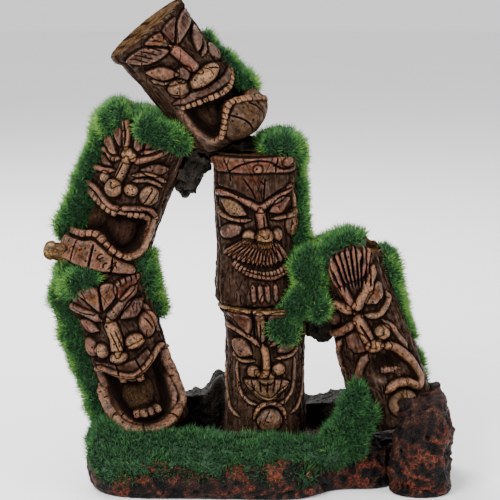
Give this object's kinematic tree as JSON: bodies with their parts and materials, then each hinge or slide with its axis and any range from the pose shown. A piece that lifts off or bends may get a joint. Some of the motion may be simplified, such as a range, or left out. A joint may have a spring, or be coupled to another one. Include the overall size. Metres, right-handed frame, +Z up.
{
  "type": "aquarium ornament",
  "caption": "Free-standing aquarium ornament: leaning tiki-head logs form a tall and a low swim-through arch over a lava base, with glued artificial moss.",
  "frame": {"origin": "middle of the flat underside of the base rock, on the surface the ornament stands on", "axes": "+Z up, -Y towards the viewer of the carved faces, +X to the viewer's right"},
  "size_m": [0.1969, 0.1019, 0.2324],
  "materials": {
    "carved_resin": "cast polyresin painted as dark weathered wood, satin",
    "lava_resin": "cast polyresin painted as dark pitted lava rock with red dry-brushed edges",
    "moss": "upright polyester fibres on a glued pad, matte"
  },
  "bodies": {
    "root": {"arch_bridge_rock": "lava_resin", "base_front_moss": "moss", "base_left_moss": "moss", "base_riser_moss": "moss", "base_rock": "lava_resin", "bridge_moss": "moss", "centre_cap_moss": "moss", "centre_flank_moss": "moss", "centre_lower_totem": "carved_resin", "centre_upper_totem": "carved_resin", "junction_rubble": "lava_resin", "left_lower_flank_moss": "moss", "left_lower_shoulder_moss": "moss", "left_lower_top_moss": "moss", "left_lower_totem": "carved_resin", "left_upper_cap_moss": "moss", "left_upper_flank_moss": "moss", "left_upper_totem": "carved_resin", "rear_ridge": "lava_resin", "right_flank_moss": "moss", "right_outcrop": "lava_resin", "right_top_moss": "moss", "right_totem": "carved_resin", "top_back_moss": "moss", "top_totem": "carved_resin", "twig_stub": "carved_resin"}
  },
  "joints": []
}
